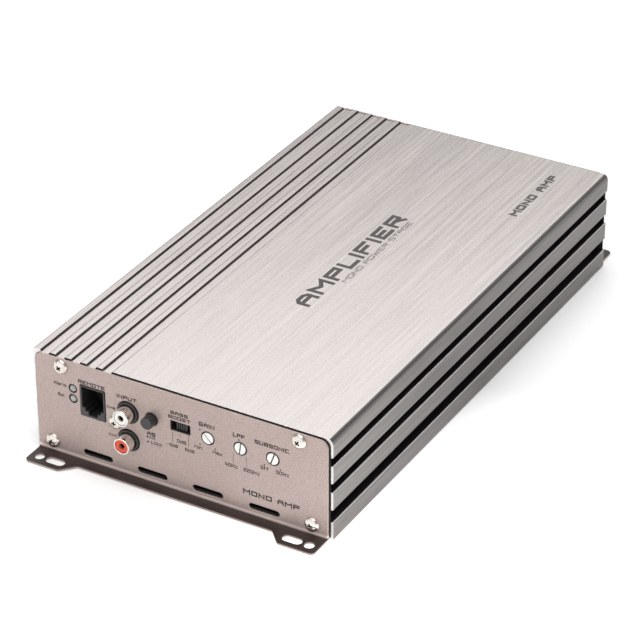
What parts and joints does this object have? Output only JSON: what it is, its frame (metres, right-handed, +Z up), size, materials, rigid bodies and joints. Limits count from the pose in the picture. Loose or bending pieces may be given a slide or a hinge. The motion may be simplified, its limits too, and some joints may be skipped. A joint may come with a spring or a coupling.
{
  "type": "car amplifier",
  "caption": "Car amplifier: finned brushed aluminium housing, bronze end plates with mounting tabs, phono inputs, trimmers, switches, terminals and blade fuses.",
  "frame": {"origin": "middle of the footprint, on the surface that the mounting flanges stand on", "axes": "+Z up, -Y out of the control panel, +Y out of the terminals, +X to the right seen from the control panel"},
  "size_m": [0.16, 0.316, 0.054],
  "materials": {
    "housing": "brushed satin",
    "plate": "satin bronze paint",
    "cover": "satin black",
    "steel": "nickel plated",
    "black_plastic": "moulded",
    "nickel": "nickel plated",
    "white_plastic": "satin",
    "red_plastic": "satin",
    "button": "moulded",
    "lens": "clear grey",
    "board": "solder mask",
    "fuse": "translucent",
    "winding": "enamelled copper",
    "capacitor": "sleeve",
    "semiconductor": "moulded"
  },
  "bodies": {
    "chassis": {"alarm_led": "lens", "as_switch_body": "black_plastic", "bass_switch_body": "black_plastic", "bottom_cover": "cover", "bottom_cover_screw_1": "steel", "bottom_cover_screw_2": "steel", "bottom_cover_screw_3": "steel", "bottom_cover_screw_4": "steel", "clamp_bar_left": "steel", "clamp_bar_right": "steel", "control_board": "board", "front_plate": "plate", "front_plate_screw_1": "steel", "front_plate_screw_2": "steel", "front_plate_screw_3": "steel", "front_plate_screw_4": "steel", "fuse_holder": "black_plastic", "gain_pot_body": "black_plastic", "heatsink_housing": "housing", "lpf_pot_body": "black_plastic", "main_circuit_board": "board", "output_filter_coil": "winding", "power_clamp_screw_1": "steel", "power_clamp_screw_2": "steel", "power_clamp_screw_3": "steel", "power_terminal_block": "black_plastic", "power_transformer": "winding", "rca_block": "black_plastic", "rca_block_screw": "steel", "rca_insulator_lower": "red_plastic", "rca_insulator_upper": "white_plastic", "rca_shell_lower": "nickel", "rca_shell_upper": "nickel", "rear_plate": "plate", "rear_plate_screw_1": "steel", "rear_plate_screw_2": "steel", "rear_plate_screw_3": "steel", "rear_plate_screw_4": "steel", "remote_socket": "black_plastic", "reservoir_capacitor_1": "capacitor", "reservoir_capacitor_2": "capacitor", "reservoir_capacitor_3": "capacitor", "reservoir_capacitor_4": "capacitor", "run_led": "lens", "speaker_clamp_screw_1": "steel", "speaker_clamp_screw_2": "steel", "speaker_terminal_block": "black_plastic", "subsonic_pot_body": "black_plastic", "transistor_left_1": "semiconductor", "transistor_left_2": "semiconductor", "transistor_right_1": "semiconductor", "transistor_right_2": "semiconductor"},
    "button": {"as_button": "button"},
    "bass_slider": {"bass_switch_slider": "button"},
    "gain_shaft": {"gain_pot_shaft": "white_plastic"},
    "lpf_shaft": {"lpf_pot_shaft": "white_plastic"},
    "subsonic_shaft": {"subsonic_pot_shaft": "white_plastic"},
    "fuse_unit_1": {"fuse_1": "fuse"},
    "fuse_unit_2": {"fuse_2": "fuse"},
    "fuse_unit_3": {"fuse_3": "fuse"}
  },
  "joints": [
    {"name": "as_button_press", "type": "slide", "parent": "chassis", "child": "button", "axis": [0, 1, 0], "range_m": [0, 0.002], "stiffness_N_per_m": 600},
    {"name": "bass_boost_slide", "type": "slide", "parent": "chassis", "child": "bass_slider", "axis": [1, 0, 0], "range_m": [-0.002, 0.002]},
    {"name": "gain_turn", "type": "hinge", "parent": "chassis", "child": "gain_shaft", "pos_m": [0.0157, -0.14, 0.0353], "axis": [0, 1, 0], "range_deg": [-96.5, 183.5]},
    {"name": "lpf_turn", "type": "hinge", "parent": "chassis", "child": "lpf_shaft", "pos_m": [0.0328, -0.14, 0.0353], "axis": [0, 1, 0], "range_deg": [-147.8, 132.2]},
    {"name": "subsonic_turn", "type": "hinge", "parent": "chassis", "child": "subsonic_shaft", "pos_m": [0.0498, -0.14, 0.0353], "axis": [0, 1, 0], "range_deg": [-160.1, 119.9]},
    {"name": "fuse_1_pull", "type": "slide", "parent": "chassis", "child": "fuse_unit_1", "axis": [0, 1, 0], "range_m": [0, 0.018]},
    {"name": "fuse_2_pull", "type": "slide", "parent": "chassis", "child": "fuse_unit_2", "axis": [0, 1, 0], "range_m": [0, 0.018]},
    {"name": "fuse_3_pull", "type": "slide", "parent": "chassis", "child": "fuse_unit_3", "axis": [0, 1, 0], "range_m": [0, 0.018]}
  ]
}
